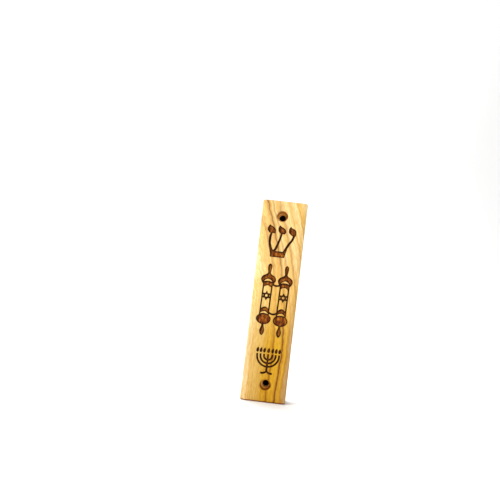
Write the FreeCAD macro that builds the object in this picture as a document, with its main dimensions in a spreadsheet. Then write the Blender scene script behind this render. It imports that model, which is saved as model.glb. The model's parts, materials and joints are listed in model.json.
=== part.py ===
"""Mezuzah case in olive wood, a parametric FreeCAD document.

A solid wooden block stands upright against a doorpost. Its front is engraved with a three-armed letter,
a pair of rolled scrolls and a seven-branched lamp. Two counterbored screw holes go through it from front
to back. A channel in its back holds a rolled parchment, and a dovetailed cover slides up to open it.

Frame, in millimetres: the origin is the centre of the back face, which lies on the doorpost. +X is to the
right for someone who looks at the front, +Y goes from the front into the doorpost, and +Z is up.
"""

import FreeCAD
import Part
import Sketcher
import math
import os
from collections import namedtuple

Vector = FreeCAD.Vector

SIZES = {
    # the block
    "case_length": 104.1,
    "case_width": 23.3,
    "case_depth": 14.0,
    "bevel_width": 2.3,
    "bevel_depth": 1.1,
    "face_round": 3.0,
    "side_round": 1.2,
    "end_round": 0.9,
    # the screw holes, and the screws' heads in front of them
    "screw_bore": 3.5,
    "head_bore": 5.7,
    "head_bore_depth": 6.4,
    "upper_hole_shift": -0.7,
    "upper_hole_rise": 44.0,
    "lower_hole_shift": 0.5,
    "lower_hole_rise": -43.2,
    # the channel for the parchment
    "channel_width": 10.4,
    "channel_bottom": -37.0,
    "channel_top": 38.0,
    "channel_depth": 11.0,
    "channel_corner": 1.5,
    # the cover and its groove
    "groove_stop": -39.5,
    "cover_width": 14.0,
    "cover_thickness": 2.0,
    "cover_recess": 0.2,
    "cover_flare": 0.54,
    "cover_round": 0.5,
    "cover_screw_bore": 4.4,
    "slide_gap": 0.12,
    "notch_rise": 27.0,
    "notch_radius": 7.0,
    "notch_width": 8.0,
    "notch_depth": 0.9,
    # the rolled parchment, its wrap and its band
    "roll_radius": 3.2,
    "roll_bore": 1.6,
    "roll_length": 62.0,
    "wrap_gap": 0.1,
    "wrap_thickness": 0.15,
    "wrap_length": 63.0,
    "band_gap": 0.02,
    "band_thickness": 0.6,
    "band_width": 2.4,
    "band_rise": -6.0,
    # the engraving
    "engraving_depth": 0.6,
    "letter_shift": -0.05,
    "letter_rise": 30.9,
    "scrolls_shift": 0.13,
    "scrolls_rise": 2.15,
    "scroll_spacing": 8.75,
    "scroll_step": 0.4,
    "scroll_lean": 1.0,
    "star_radius": 2.4,
    "star_eye": 0.8,
    "lamp_shift": 0.25,
    "lamp_rise": -28.2,
}

# A stretch of an outline that is part of a circle: a point on its middle, and its end.
Round = namedtuple("Round", "middle end")

# Geometry and point numbers that the sketcher gives to the origin and to the ends of an edge.
ORIGIN = -1
START, END, CENTRE = 1, 2, 3

# Expressions for the roll's axis in Y, and for the two radii of the wrap around it.
ROLL_AXIS = "-(Size.channel_depth + Size.cover_recess + Size.cover_thickness) / 2"
WRAP_INSIDE = "Size.roll_radius + Size.wrap_gap"
WRAP_OUTSIDE = f"{WRAP_INSIDE} + Size.wrap_thickness"

# Where the lamp's arms and flames stand, to each side of its stem, and how wide its lines are.
ARM_RADII = (2.1, 3.9, 5.65)
LAMP_LINE = 0.78
ARM_TIP = 0.7


# ---- Document helpers


def make_sheet(doc):
    """Writes each size to a row of the spreadsheet, with its name as the alias."""
    sheet = doc.addObject("Spreadsheet::Sheet", "Size")
    for row, (alias, number) in enumerate(SIZES.items(), start=1):
        sheet.set(f"A{row}", alias)
        sheet.set(f"B{row}", str(number))
        sheet.setAlias(f"B{row}", alias)
    doc.recompute()


def make_body(doc, name):
    """Starts a sub-part whose label is its node's name."""
    body = doc.addObject("PartDesign::Body", name)
    body.Label = name
    return body


def make_sketch(body, role, name, **offset):
    """Puts a sketch on one of its body's origin planes, offset by expressions for x, y, z and turn."""
    sketch = body.newObject("Sketcher::SketchObject", name)
    plane = next(feature for feature in body.Origin.OriginFeatures if feature.Role == role)
    sketch.AttachmentSupport = [(plane, "")]
    sketch.MapMode = "FlatFace"
    turn = offset.pop("turn", None)
    if turn:
        sketch.setExpression("AttachmentOffset.Rotation.Angle", f"({turn}) * 1 deg")
    for axis, expression in offset.items():
        sketch.setExpression(f"AttachmentOffset.Base.{axis}", expression)
    return sketch


def number(holder, expression):
    """The value of an expression in the sheet's names."""
    return float(holder.evalExpression(expression))


def hold(sketch, kind, places, expression):
    """Adds a dimension that follows an expression."""
    constraint = Sketcher.Constraint(kind, *places, number(sketch, expression))
    index = sketch.addConstraint(constraint)
    sketch.setExpression(f"Constraints[{index}]", expression)


def add_polygon(sketch, corners):
    """Draws a closed polygon whose corners are pairs of expressions."""
    points = [Vector(number(sketch, across), number(sketch, up), 0) for across, up in corners]
    first = sketch.GeometryCount
    for start, end in zip(points, points[1:] + points[:1]):
        sketch.addGeometry(Part.LineSegment(start, end))
    for index, (across, up) in enumerate(corners):
        line = first + index
        following = first + (index + 1) % len(corners)
        sketch.addConstraint(Sketcher.Constraint("Coincident", line, END, following, START))
        hold(sketch, "DistanceX", (ORIGIN, START, line, START), across)
        hold(sketch, "DistanceY", (ORIGIN, START, line, START), up)


def add_circle(sketch, across, up, radius):
    """Draws a circle whose centre and radius are expressions."""
    centre = Vector(number(sketch, across), number(sketch, up), 0)
    circle = Part.Circle(centre, Vector(0, 0, 1), number(sketch, radius))
    index = sketch.addGeometry(circle)
    hold(sketch, "DistanceX", (ORIGIN, START, index, CENTRE), across)
    hold(sketch, "DistanceY", (ORIGIN, START, index, CENTRE), up)
    hold(sketch, "Radius", (index,), radius)


def add_outline(sketch, start, runs):
    """Draws a closed outline: each run goes straight to one point, or smoothly through several."""
    here = Vector(*start, 0)
    for run in runs:
        points = [here, *(Vector(*point, 0) for point in run)]
        if isinstance(run, Round):
            sketch.addGeometry(Part.Arc(*points))
        elif len(points) == 2:
            sketch.addGeometry(Part.LineSegment(*points))
        else:
            sketch.addGeometry(smooth(points))
        here = points[-1]
    if here != Vector(*start, 0):
        raise RuntimeError(f"{sketch.Name} has an open outline")


def smooth(points):
    """A curve through points."""
    curve = Part.BSplineCurve()
    curve.interpolate(points)
    return curve


def both_sides(start, runs):
    """A symmetric outline: the runs of its right half, then their mirror images back to the start."""
    ends = [start] + [run[-1] for run in runs]
    back = []
    for before, run in zip(reversed(ends[:-1]), reversed(runs)):
        points = [before, *run[:-1]]
        back.append([(-across if across else 0, up) for across, up in reversed(points)])
    return start, [*runs, *back]


def arch(half, level, top):
    """Points over an arch from its end at -half, which isn't among them, to its end at half."""
    return [(half * part, level + (top - level) * (1 - part * part)) for part in (-0.6, 0, 0.6, 1)]


def arc(centre, radii, first, last, count):
    """Points of an arc of an ellipse, from one angle to another in degrees."""
    angles = [math.radians(first + (last - first) * step / (count - 1)) for step in range(count)]
    return [(centre[0] + radii[0] * math.cos(a), centre[1] + radii[1] * math.sin(a)) for a in angles]


def finish(body, feature):
    """Recomputes, and raises if the feature failed or changed nothing."""
    before = feature.BaseFeature.Shape.Volume if feature.BaseFeature else 0
    body.Document.recompute()
    if not feature.isValid() or abs(feature.Shape.Volume - before) < 0.001:
        raise RuntimeError(f"{feature.Name} failed or changed nothing")


def pad(body, sketch, name, length, middle=False):
    """Pads a sketch by an expression, along its normal or to both sides of it."""
    feature = body.newObject("PartDesign::Pad", name)
    feature.Profile = sketch
    feature.setExpression("Length", length)
    feature.SideType = "Symmetric" if middle else "One side"
    finish(body, feature)


def pocket(body, sketch, name, length, reverse=False, middle=False):
    """Cuts a sketch to a depth against its normal, along it or to both sides."""
    feature = body.newObject("PartDesign::Pocket", name)
    feature.Profile = sketch
    feature.setExpression("Length", length)
    feature.Reversed = reverse
    feature.SideType = "Symmetric" if middle else "One side"
    finish(body, feature)


def fillet(body, name, radius, wanted):
    """Rounds the edges whose middle and box pass a test."""
    base = body.Tip
    edges = [
        f"Edge{index}"
        for index, edge in enumerate(base.Shape.Edges, start=1)
        if wanted(edge.CenterOfMass, edge.BoundBox)
    ]
    feature = body.newObject("PartDesign::Fillet", name)
    feature.Base = (base, edges)
    feature.setExpression("Radius", radius)
    finish(body, feature)


# ---- The block


def pad_block(body):
    """The block. Its section has a flat back, straight sides and two front bevels."""
    side = "Size.case_width / 2"
    face = "Size.case_width / 2 - Size.bevel_width"
    front = "-Size.case_depth"
    shoulder = "-Size.case_depth + Size.bevel_depth"
    section = make_sketch(body, "XY_Plane", "BlockSection")
    right = [(side, "0"), (side, shoulder), (face, front)]
    left = [(f"-({across})", up) for across, up in reversed(right)]
    add_polygon(section, right + left)
    pad(body, section, "Block", "Size.case_length", middle=True)


def round_block(body):
    """Softens the long front arrises, then rounds the ends and the long back edges."""
    depth = SIZES["case_depth"]
    shoulder = depth - SIZES["bevel_depth"]
    middle = SIZES["case_length"] / 2

    def is_face_arris(place, box):
        return box.ZLength > middle and abs(place.y + depth) < 0.01

    def is_side_arris(place, box):
        return box.ZLength > middle and abs(place.y + shoulder) < 0.01

    def is_end_or_back(place, box):
        at_end = abs(abs(place.z) - middle) < 0.01
        return at_end or (box.ZLength > middle and abs(place.y) < 0.01)

    fillet(body, "FaceArrises", "Size.face_round", is_face_arris)
    fillet(body, "SideArrises", "Size.side_round", is_side_arris)
    fillet(body, "EndsAndBack", "Size.end_round", is_end_or_back)


def bore_screw_holes(body):
    """Two holes right through the block, each with a wider bore for the screw's head at the front."""
    bores = make_sketch(body, "XZ_Plane", "ScrewBores", z="Size.case_depth")
    heads = make_sketch(body, "XZ_Plane", "HeadBores", z="Size.case_depth")
    for hole in ("upper_hole", "lower_hole"):
        add_circle(bores, f"Size.{hole}_shift", f"Size.{hole}_rise", "Size.screw_bore / 2")
        add_circle(heads, f"Size.{hole}_shift", f"Size.{hole}_rise", "Size.head_bore / 2")
    pocket(body, bores, "ScrewHoles", "Size.case_depth + 1")
    pocket(body, heads, "HeadHoles", "Size.head_bore_depth")


def rout_channel(body):
    """The channel in the back that holds the parchment, with small round corners from the cutter."""
    side = "Size.channel_width / 2"
    corners = [
        (side, "Size.channel_bottom"),
        (side, "Size.channel_top"),
        (f"-{side}", "Size.channel_top"),
        (f"-{side}", "Size.channel_bottom"),
    ]
    outline = make_sketch(body, "XZ_Plane", "ChannelOutline")
    add_polygon(outline, corners)
    pocket(body, outline, "Channel", "Size.channel_depth", reverse=True)
    half = SIZES["channel_width"] / 2
    depth = SIZES["channel_depth"]

    def is_corner(place, box):
        return abs(abs(place.x) - half) < 0.01 and abs(box.YLength - depth) < 0.01

    fillet(body, "ChannelCorners", "Size.channel_corner", is_corner)


def rout_groove(body):
    """The dovetail groove for the cover: open at the top end, and wider than the cover by the gap."""
    floor = "-(Size.cover_recess + Size.cover_thickness + Size.slide_gap)"
    slope = "Size.cover_flare / Size.cover_thickness"
    mouth = f"Size.cover_width / 2 + Size.slide_gap - Size.cover_recess * {slope}"
    foot = f"{mouth} - ({floor}) * {slope}"
    over = f"{mouth} - {slope}"
    section = make_sketch(body, "XY_Plane", "GrooveSection", z="Size.groove_stop")
    add_polygon(section, [(over, "1"), (foot, floor), (f"-({foot})", floor), (f"-({over})", "1")])
    pocket(body, section, "Groove", "Size.case_length", reverse=True)


# ---- The engraving


def engrave(body, name, outlines, **offset):
    """Cuts outlines into the front face. An outline inside another one stays standing."""
    sketch = make_sketch(body, "XZ_Plane", f"{name}Outline", z="Size.case_depth", **offset)
    for start, runs in outlines:
        add_outline(sketch, start, runs)
    pocket(body, sketch, name, "Size.engraving_depth")


def letter_outline():
    """The letter shin: three flame-shaped heads whose stems lean down to one base bar."""
    left_head_right = [(-5.3, 7.45), (-4.2, 6.9), (-3.5, 6.0), (-3.3, 4.9), (-3.45, 3.95)]
    left_stem_right = [(-5.2, 1.9), (-5.28, 0.0), (-4.98, -2.0), (-4.4, -3.6), (-3.7, -4.9)]
    middle_stem_left = [(-3.1, -4.35), (-2.32, -2.6), (-1.67, -0.7), (-1.05, 1.5), (-0.45, 3.95)]
    middle_head_left = [(-1.35, 4.75), (-1.9, 6.1), (-1.75, 7.3), (-1.1, 8.25)]
    middle_head_right = [(-0.35, 7.5), (0.9, 6.95), (1.75, 6.0), (2.0, 4.9), (1.4, 3.95)]
    middle_stem_right = [(0.0, 2.0), (-0.55, -0.1), (-1.13, -2.1), (-1.8, -4.1), (-2.5, -5.25)]
    right_stem_left = [(2.1, -4.1), (2.7, -2.8), (3.42, -1.35), (4.46, 0.2), (5.42, 1.75), (5.82, 3.4)]
    right_head_left = [(4.6, 4.1), (3.75, 5.1), (3.6, 6.4), (4.4, 8.2)]
    right_head_right = [(5.2, 7.3), (6.5, 6.8), (7.25, 5.7), (7.35, 4.4), (6.75, 3.0)]
    right_stem_right = [(6.3, 1.45), (5.38, -0.15), (4.4, -1.75), (3.65, -3.4), (3.15, -5.2)]
    base_right = [(2.85, -6.8), (2.4, -8.3)]
    left_stem_left = [(-5.1, -5.9), (-5.78, -3.2), (-6.28, -0.7), (-6.28, 1.8), (-5.78, 3.95)]
    left_head_left = [(-6.75, 4.45), (-7.4, 5.6), (-7.2, 7.1), (-6.5, 8.2)]
    runs = [
        left_head_right,
        [(-4.9, 3.95)],
        left_stem_right,
        middle_stem_left,
        middle_head_left,
        middle_head_right,
        [(0.4, 3.95)],
        middle_stem_right,
        [(1.6, -5.25)],
        right_stem_left,
        right_head_left,
        right_head_right,
        right_stem_right,
        base_right,
        [(-4.65, -8.3)],
        left_stem_left,
        left_head_left,
    ]
    return left_head_left[-1], runs


def scroll_outlines():
    """One rolled scroll: its handles, crown, rods and foot disc, around three fields left standing."""
    disc_centre = (0, -12.0)
    disc_radii = (3.7, 2.75)
    rod = 2.5
    neck = 0.5
    disc_start = math.degrees(math.acos(rod / disc_radii[0]))
    disc_end = -math.degrees(math.acos(neck / disc_radii[0]))
    disc = arc(disc_centre, disc_radii, disc_start, disc_end, 9)
    top_handle = [(0.7, 16.0), (0.95, 14.8), (0.78, 13.2), (0.6, 11.9)]
    crown = [(1.3, 11.0), (2.65, 10.3), (3.6, 9.2), (3.78, 8.3), (3.4, 7.2), (rod, 5.9)]
    foot_handle = [(0.62, -16.0), (1.08, -17.6), (0.85, -19.4), (0, -20.4)]
    whole = both_sides((0, 16.6), [top_handle, crown, [disc[0]], disc[1:], foot_handle])
    crescent = field(2.4, (7.1, 8.75), (7.0, 7.6))
    window = field(1.9, (4.4, 5.35), (-7.0, -5.8))
    foot_gap = field(2.0, (-9.1, -8.0), (-9.55, -9.15))
    return [whole, crescent, window, foot_gap]


def field(half, upper, lower):
    """A field between two arches and two straight sides. An arch gives its ends' height and its top's."""
    runs = [arch(half, *upper), [(half, lower[0])], arch(-half, *lower), [(-half, upper[0])]]
    return (-half, upper[0]), runs


def engrave_scrolls(body):
    """The pair of scrolls, the right one a step lower, with a star on each and two cords between them."""
    for name, side in (("LeftScroll", "-1"), ("RightScroll", "1")):
        place = {
            "x": f"Size.scrolls_shift + {side} * Size.scroll_spacing / 2",
            "y": f"Size.scrolls_rise - {side} * Size.scroll_step / 2",
            "turn": "-Size.scroll_lean",
        }
        engrave(body, name, scroll_outlines(), **place)
        engrave_star(body, f"{name}Star", place)
    upper = [(-2.4, 6.6), (-1.3, 5.95), (0.2, 5.6), (1.4, 5.85), (2.4, 6.5)]
    lower = [(-2.8, -7.7), (-1.9, -8.6), (-0.4, -9.1), (1.0, -8.9), (2.3, -8.1)]
    cords = [stroke(upper, 0.8), stroke(lower, 0.8)]
    engrave(body, "ScrollCords", cords, x="Size.scrolls_shift", y="Size.scrolls_rise")


def engrave_star(body, name, place):
    """A six-pointed star with a standing eye."""
    sketch = make_sketch(body, "XZ_Plane", f"{name}Outline", z="Size.case_depth", **place)
    radii = ("Size.star_radius", "Size.star_radius / sqrt(3)")
    add_polygon(sketch, [turned(radii[step % 2], 30 * step) for step in range(12)])
    add_polygon(sketch, [turned("Size.star_eye", 60 * step) for step in range(6)])
    pocket(body, sketch, name, "Size.engraving_depth")


def turned(radius, degrees):
    """A corner at a radius, clockwise from the top, as expressions."""
    return f"{radius} * sin({degrees} deg)", f"{radius} * cos({degrees} deg)"


def stroke(spine, width):
    """The outline of a line of one width along a smooth spine, with square ends."""
    left, right = [], []
    for index, (across, up) in enumerate(spine):
        before = spine[max(index - 1, 0)]
        after = spine[min(index + 1, len(spine) - 1)]
        along = math.dist(before, after)
        aside = (before[1] - after[1]) / along * width / 2
        above = (after[0] - before[0]) / along * width / 2
        left.append((across + aside, up + above))
        right.append((across - aside, up - above))
    return left[0], [left[1:], [right[-1]], right[-2::-1], [left[0]]]


def arm_outline(radius):
    """Two arms of the lamp in one line: a half ring with its two straight tips."""
    outer = radius + LAMP_LINE / 2
    inner = radius - LAMP_LINE / 2
    runs = [
        [(-outer, 0)],
        Round((0, -outer), (outer, 0)),
        [(outer, ARM_TIP)],
        [(inner, ARM_TIP)],
        [(inner, 0)],
        Round((0, -inner), (-inner, 0)),
        [(-inner, ARM_TIP)],
        [(-outer, ARM_TIP)],
    ]
    return (-outer, ARM_TIP), runs


def flame_outline(across):
    """A small flame that leans to the right, above an arm."""
    tip = (across + 0.18, 3.9)
    right = [(across + 0.58, 2.95), (across + 0.48, 1.98), (across, 1.44)]
    left = [(across - 0.58, 2.1), (across - 0.42, 3.05), tip]
    return tip, [right, left]


def stem_outline():
    """The lamp's stem, with a foot that curves out on both sides."""
    half = LAMP_LINE / 2
    upper = [(0.95, -8.25), (1.65, -8.53), (2.9, -8.55)]
    lower = [(1.6, -9.36), (0.8, -9.08), (0, -8.35)]
    runs = [[(half, ARM_TIP)], [(half, -7.6)], upper, [(2.9, -9.34)], lower]
    return both_sides((0, ARM_TIP), runs)


def engrave_lamp(body):
    """The seven-branched lamp. Its arms and stem cross, so each is cut on its own."""
    place = {"x": "Size.lamp_shift", "y": "Size.lamp_rise"}
    stands = [0] + [side * radius for radius in ARM_RADII for side in (-1, 1)]
    engrave(body, "LampArms", [arm_outline(radius) for radius in ARM_RADII], **place)
    engrave(body, "LampFlames", [flame_outline(across) for across in stands], **place)
    engrave(body, "LampStem", [stem_outline()], **place)


def make_case_body(doc):
    """The wooden block with its holes, channel, groove and engraving."""
    body = make_body(doc, "case_body")
    pad_block(body)
    round_block(body)
    rout_channel(body)
    rout_groove(body)
    bore_screw_holes(body)
    engrave(body, "Letter", [letter_outline()], x="Size.letter_shift", y="Size.letter_rise")
    engrave_scrolls(body)
    engrave_lamp(body)


# ---- The cover


def make_back_cover(doc):
    """The dovetailed cover: it stands on the groove's stop, and its top end is flush with the block's."""
    body = make_body(doc, "back_cover")
    outside = "-Size.cover_recess"
    inside = "-(Size.cover_recess + Size.cover_thickness)"
    mouth = "Size.cover_width / 2"
    foot = "(Size.cover_width / 2 + Size.cover_flare)"
    section = make_sketch(body, "XY_Plane", "CoverSection", z="Size.groove_stop")
    corners = [(mouth, outside), (foot, inside), (f"-{foot}", inside), (f"-{mouth}", outside)]
    add_polygon(section, corners)
    pad(body, section, "Cover", "Size.case_length / 2 - Size.groove_stop")
    top = SIZES["case_length"] / 2

    def is_top_back_edge(place, box):
        return abs(place.z - top) < 0.01 and abs(place.y + SIZES["cover_recess"]) < 0.01

    fillet(body, "CoverTop", "Size.cover_round", is_top_back_edge)
    bore = make_sketch(body, "XZ_Plane", "CoverBore")
    add_circle(bore, "Size.upper_hole_shift", "Size.upper_hole_rise", "Size.cover_screw_bore / 2")
    pocket(body, bore, "CoverScrewHole", "2 * Size.case_depth", middle=True)
    notch = make_sketch(body, "YZ_Plane", "ThumbNotchSection")
    height = "Size.notch_radius - Size.notch_depth - Size.cover_recess"
    add_circle(notch, height, "Size.notch_rise", "Size.notch_radius")
    pocket(body, notch, "ThumbNotch", "Size.notch_width", middle=True)


# ---- The parchment


def make_tube(doc, name, foot, length, inside, outside):
    """A tube around the roll's axis, from its foot up."""
    body = make_body(doc, name)
    section = make_sketch(body, "XY_Plane", f"{name}_section", z=foot)
    for radius in (inside, outside):
        add_circle(section, "0", ROLL_AXIS, radius)
    pad(body, section, f"{name}_tube", length)


def make_scroll(doc):
    """The rolled parchment and its clear wrap, on the channel's bottom end, and the band around both."""
    floor = "Size.channel_bottom"
    band_foot = "Size.band_rise - Size.band_width / 2"
    band_inside = f"{WRAP_OUTSIDE} + Size.band_gap"
    band_outside = f"{band_inside} + Size.band_thickness"
    make_tube(doc, "scroll_parchment", floor, "Size.roll_length", "Size.roll_bore", "Size.roll_radius")
    make_tube(doc, "scroll_wrap", floor, "Size.wrap_length", WRAP_INSIDE, WRAP_OUTSIDE)
    make_tube(doc, "scroll_band", band_foot, "Size.band_width", band_inside, band_outside)


# ---- Checks and files


def check(doc):
    """Raises if an object failed or a sub-part has no sound shape."""
    for item in doc.Objects:
        if {"Invalid", "Error"} & set(item.State):
            raise RuntimeError(f"{item.Name}: {item.State}")
    for body in bodies(doc):
        if body.Shape.isNull() or not body.Shape.isValid() or len(body.Shape.Solids) != 1:
            raise RuntimeError(f"{body.Label} is not one sound solid")


def bodies(doc):
    """The sub-parts."""
    return [item for item in doc.Objects if item.TypeId == "PartDesign::Body"]


def write(doc):
    """Writes each sub-part to parts/NODE.step."""
    os.makedirs("parts", exist_ok=True)
    for body in bodies(doc):
        body.Shape.exportStep(f"parts/{body.Label}.step")
        box = body.Shape.BoundBox
        print(f"{body.Label}: {body.Shape.Volume:.1f} mm3, {box}")


def main():
    doc = FreeCAD.newDocument("mezuzah_case")
    make_sheet(doc)
    make_case_body(doc)
    make_back_cover(doc)
    make_scroll(doc)
    doc.recompute()
    check(doc)
    write(doc)


main()
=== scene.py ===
"""Looks for the olive wood mezuzah case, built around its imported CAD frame.

Every mesh is in metres, in the case's own frame. The origin is the centre of the back face, +X is to the
right of someone who looks at the front, +Y goes from the front into the doorpost, and +Z is up.
"""

import json
import logging
import math
from collections.abc import Sequence
from dataclasses import dataclass, field
from enum import Enum

import bmesh
import bpy
import numpy as np
from bmesh.types import BMEdge, BMesh, BMFace, BMVert
from bpy.types import Material, Mesh, Node, NodeOutputs, NodeSocket, NodeTree, Object
from mathutils import Matrix, Vector
from mathutils.geometry import delaunay_2d_cdt
from mathutils.kdtree import KDTree


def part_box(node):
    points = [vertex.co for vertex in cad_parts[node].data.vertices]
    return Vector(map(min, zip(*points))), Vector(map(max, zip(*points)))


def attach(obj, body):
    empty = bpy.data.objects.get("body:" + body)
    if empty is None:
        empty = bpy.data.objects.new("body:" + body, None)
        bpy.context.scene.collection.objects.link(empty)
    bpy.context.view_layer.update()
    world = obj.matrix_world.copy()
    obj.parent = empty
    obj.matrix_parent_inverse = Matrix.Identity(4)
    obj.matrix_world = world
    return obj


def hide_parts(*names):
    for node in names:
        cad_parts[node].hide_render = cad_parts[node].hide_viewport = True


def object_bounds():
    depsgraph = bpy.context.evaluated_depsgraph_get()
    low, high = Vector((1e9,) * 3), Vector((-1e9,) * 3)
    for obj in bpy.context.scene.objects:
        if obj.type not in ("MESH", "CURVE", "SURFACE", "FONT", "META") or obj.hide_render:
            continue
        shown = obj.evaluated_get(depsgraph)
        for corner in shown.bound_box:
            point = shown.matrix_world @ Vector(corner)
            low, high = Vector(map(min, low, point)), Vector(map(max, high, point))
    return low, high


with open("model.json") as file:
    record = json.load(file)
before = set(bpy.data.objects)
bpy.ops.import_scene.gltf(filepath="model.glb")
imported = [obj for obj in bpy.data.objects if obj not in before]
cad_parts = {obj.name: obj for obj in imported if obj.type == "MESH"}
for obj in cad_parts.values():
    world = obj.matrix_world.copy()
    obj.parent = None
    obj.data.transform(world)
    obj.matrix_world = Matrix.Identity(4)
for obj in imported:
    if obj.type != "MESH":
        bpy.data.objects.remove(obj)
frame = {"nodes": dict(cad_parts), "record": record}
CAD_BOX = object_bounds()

MM = 0.001
SEED = 7
BATCH = 2000
GEOMETRY = {"Geometry": "NodeSocketGeometry"}
log = logging.getLogger("mezuzah_case")

Vec3 = tuple[float, float, float]
Colour = Vec3
Stop = tuple[float, Colour]


class Body(str, Enum):
    """The CAD bodies that pieces ride on."""

    CASE = "case"


class CadNode(str, Enum):
    """The CAD nodes."""

    BLOCK = "case_body"
    COVER = "back_cover"
    PARCHMENT = "scroll_parchment"
    WRAP = "scroll_wrap"
    BAND = "scroll_band"


class Ramp(str, Enum):
    """How a colour ramp passes from one stop to the next."""

    EVEN = "LINEAR"
    SOFT = "EASE"


def tone(red: int, green: int, blue: int) -> Colour:
    """Turns a colour from 0 to 255, as on a screen, into the linear numbers that shaders use.

    Args:
        red: The red part.
        green: The green part.
        blue: The blue part.

    Returns:
        The three linear parts, from 0 to 1.
    """
    parts = (channel / 255 for channel in (red, green, blue))
    return tuple(part / 12.92 if part <= 0.04045 else ((part + 0.055) / 1.055) ** 2.4 for part in parts)


def tones(*rows: tuple[float, int, int, int]) -> tuple[Stop, ...]:
    """Turns rows of a distance and a colour from 0 to 255 into stops."""
    return tuple((at, tone(red, green, blue)) for at, red, green, blue in rows)


# ---- Node trees


class Graph:
    """Adds nodes to a tree and links them. A socket given as a value is linked, and anything else is set."""

    def __init__(self, tree: NodeTree) -> None:
        """Empties a tree, to fill it."""
        self.tree = tree
        tree.nodes.clear()

    def feed(self, socket: NodeSocket, value: object) -> None:
        """Links or sets one input.

        Args:
            socket: The input.
            value: An output socket, or the value to set.
        """
        if isinstance(value, NodeSocket):
            self.tree.links.new(value, socket)
        elif isinstance(value, tuple) and len(value) == 3 and len(getattr(socket, "default_value", ())) == 4:
            socket.default_value = (*value, 1.0)
        else:
            socket.default_value = value

    def fill(self, node: Node, values: dict) -> None:
        """Links or sets several inputs of a node, by name or number."""
        for key, value in values.items():
            self.feed(node.inputs[key], value)

    def add(self, kind: str, values: dict | None = None, **settings: object) -> Node:
        """Adds a node.

        Args:
            kind: The node's type name.
            values: Its inputs, by name or number.
            settings: Its properties, which are set first.

        Returns:
            The node.
        """
        node = self.tree.nodes.new(kind)
        for name, value in settings.items():
            setattr(node, name, value)
        self.fill(node, values or {})
        return node

    def out(self, kind: str, values: dict | None = None, **settings: object) -> NodeSocket:
        """Adds a node and gives its first output."""
        return self.add(kind, values, **settings).outputs[0]

    def math(self, operation: str, *values: object, clamp: bool = False) -> NodeSocket:
        """One sum on numbers."""
        return self.out("ShaderNodeMath", dict(enumerate(values)), operation=operation, use_clamp=clamp)

    def plus(self, first: object, second: object) -> NodeSocket:
        """The sum of two numbers."""
        return self.math("ADD", first, second)

    def minus(self, first: object, second: object) -> NodeSocket:
        """The first number less the second."""
        return self.math("SUBTRACT", first, second)

    def times(self, first: object, second: object) -> NodeSocket:
        """The product of two numbers."""
        return self.math("MULTIPLY", first, second)

    def square(self, value: object) -> NodeSocket:
        """A number times itself."""
        return self.math("POWER", value, 2.0)

    def scaled(self, vector: object, scales: Vec3) -> NodeSocket:
        """A vector whose three parts are each multiplied by their own scale."""
        return self.out("ShaderNodeVectorMath", {0: vector, 1: scales}, operation="MULTIPLY")

    def millimetres(self, place: object) -> NodeSocket:
        """A place in metres, turned into millimetres."""
        return self.scaled(place, (1 / MM, 1 / MM, 1 / MM))

    def combine(self, x: object, y: object, z: object) -> NodeSocket:
        """A vector of three numbers."""
        return self.out("ShaderNodeCombineXYZ", {0: x, 1: y, 2: z})

    def split(self, vector: NodeSocket) -> tuple[NodeSocket, ...]:
        """The three parts of a vector."""
        return tuple(self.add("ShaderNodeSeparateXYZ", {0: vector}).outputs)

    def noise(self, vector: object, scale: float, detail: float = 2.0, rough: float = 0.5) -> NodeSocket:
        """Noise from 0 to 1 over a vector."""
        values = {"Vector": vector, "Scale": scale, "Detail": detail, "Roughness": rough}
        return self.out("ShaderNodeTexNoise", values)

    def span(self, value: object, low: object, high: object, start: float = 0.0, end: float = 1.0,
             smooth: bool = True) -> NodeSocket:
        """Maps low to high onto start to end, held at both ends.

        Args:
            value: The number to map.
            low: What gives start.
            high: What gives end.
            start: The result at low.
            end: The result at high.
            smooth: Whether the passage eases in and out.

        Returns:
            The mapped number.
        """
        kind = "SMOOTHSTEP" if smooth else "LINEAR"
        values = {"Value": value, "From Min": low, "From Max": high, "To Min": start, "To Max": end}
        return self.out("ShaderNodeMapRange", values, interpolation_type=kind, clamp=True)

    def mix(self, amount: object, first: object, second: object, how: str = "MIX") -> NodeSocket:
        """Mixes two colours.

        Args:
            amount: The share of the second, from 0 to 1.
            first: The first colour.
            second: The second colour.
            how: The blend type.

        Returns:
            The mixed colour.
        """
        node = self.add("ShaderNodeMix", data_type="RGBA", blend_type=how, clamp_factor=True)
        colours = [socket for socket in node.inputs if socket.type == "RGBA"]
        self.feed(node.inputs[0], amount)
        self.feed(colours[0], first)
        self.feed(colours[1], second)
        return next(socket for socket in node.outputs if socket.type == "RGBA")

    def tint(self, amount: object, colour: object, shade: Colour) -> NodeSocket:
        """Multiplies a colour by a shade, by an amount from 0 to 1."""
        return self.mix(amount, colour, self.mix(1.0, colour, shade, "MULTIPLY"))

    def ramp(self, value: object, stops: Sequence[Stop], how: Ramp = Ramp.EVEN) -> NodeSocket:
        """A colour ramp.

        Args:
            value: The place on the ramp.
            stops: At least two stops, in order, from 0 to 1.
            how: How one stop passes to the next.

        Returns:
            The colour there.
        """
        node = self.add("ShaderNodeValToRGB", {0: value})
        node.color_ramp.interpolation = how.value
        elements = node.color_ramp.elements
        for place, _ in stops[2:]:
            elements.new(place)
        for element, (place, colour) in zip(elements, stops):
            element.position = place
            element.color = (*colour, 1.0)
        return node.outputs[0]

    def bump(self, height: object, strength: float, distance: float) -> NodeSocket:
        """The normal of a bumpy surface."""
        return self.out("ShaderNodeBump", {"Height": height, "Strength": strength, "Distance": distance})

    def group(self, tree: NodeTree, values: dict) -> NodeOutputs:
        """Places a shader group, feeds its inputs by name and gives its outputs."""
        return self.add("ShaderNodeGroup", values, node_tree=tree).outputs


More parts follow.
